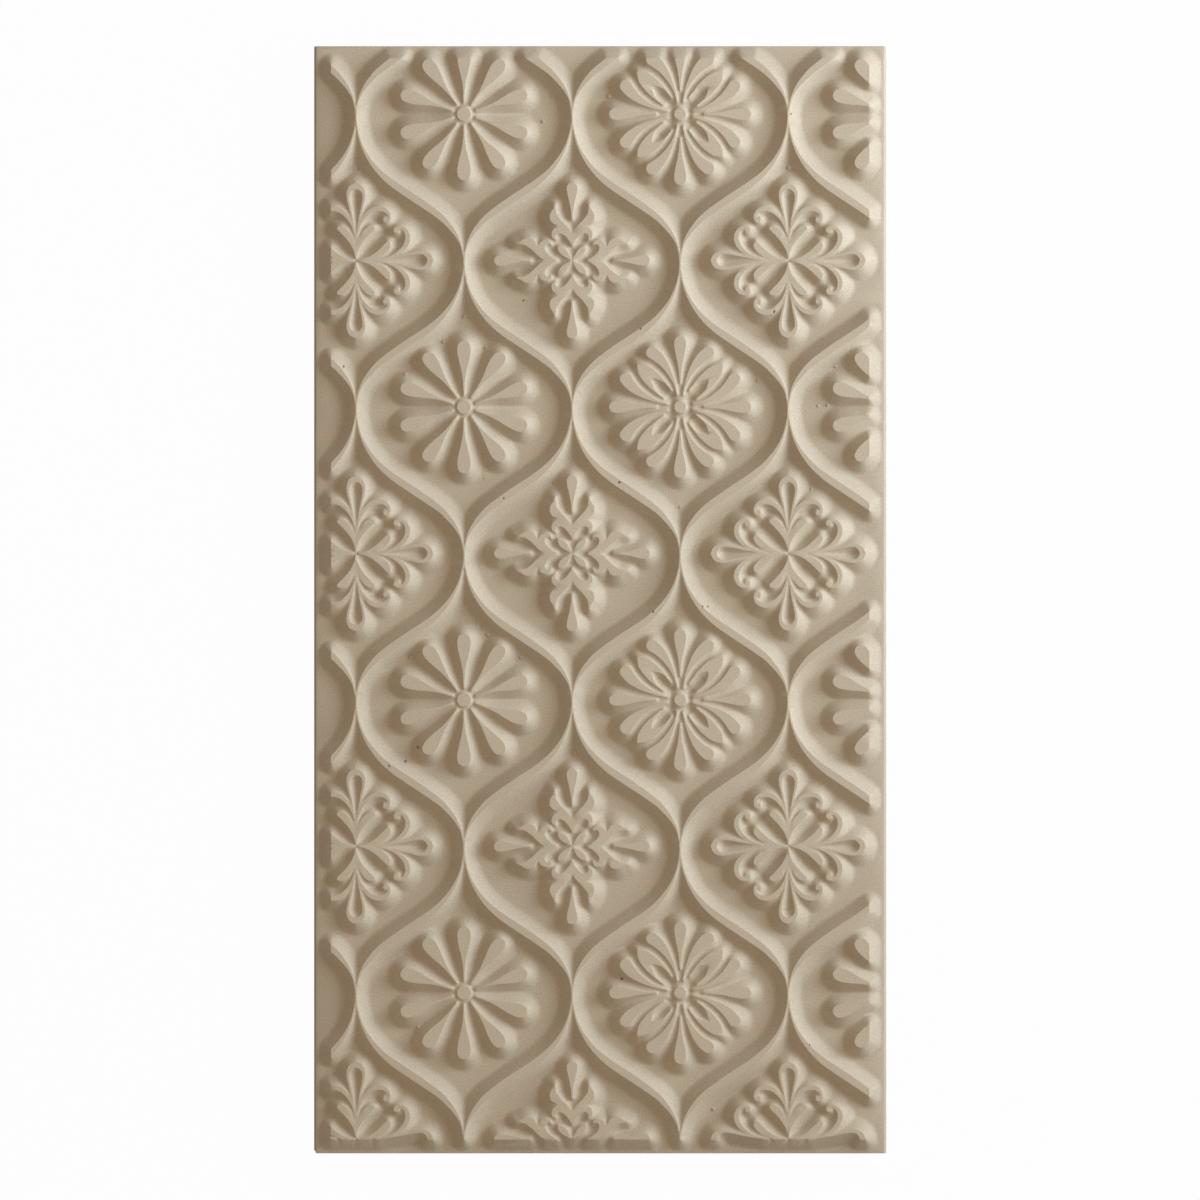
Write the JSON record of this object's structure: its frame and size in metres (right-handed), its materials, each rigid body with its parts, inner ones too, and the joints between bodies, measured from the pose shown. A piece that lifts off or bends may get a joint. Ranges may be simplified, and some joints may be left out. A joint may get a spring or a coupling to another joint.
{
  "type": "clay texture tile",
  "caption": "Flat rectangular block with a raised floral lattice on its face, pressed into soft clay to print the pattern.",
  "frame": {"origin": "middle of the flat back, on the surface that the tile rests on", "axes": "+Z out of the patterned face, +Y along the tile's long side, +X across it"},
  "size_m": [0.098, 0.1894, 0.008],
  "materials": {
    "cast_resin": "matte, as cast"
  },
  "bodies": {
    "root": {"texture_tile": "cast_resin"}
  },
  "joints": []
}
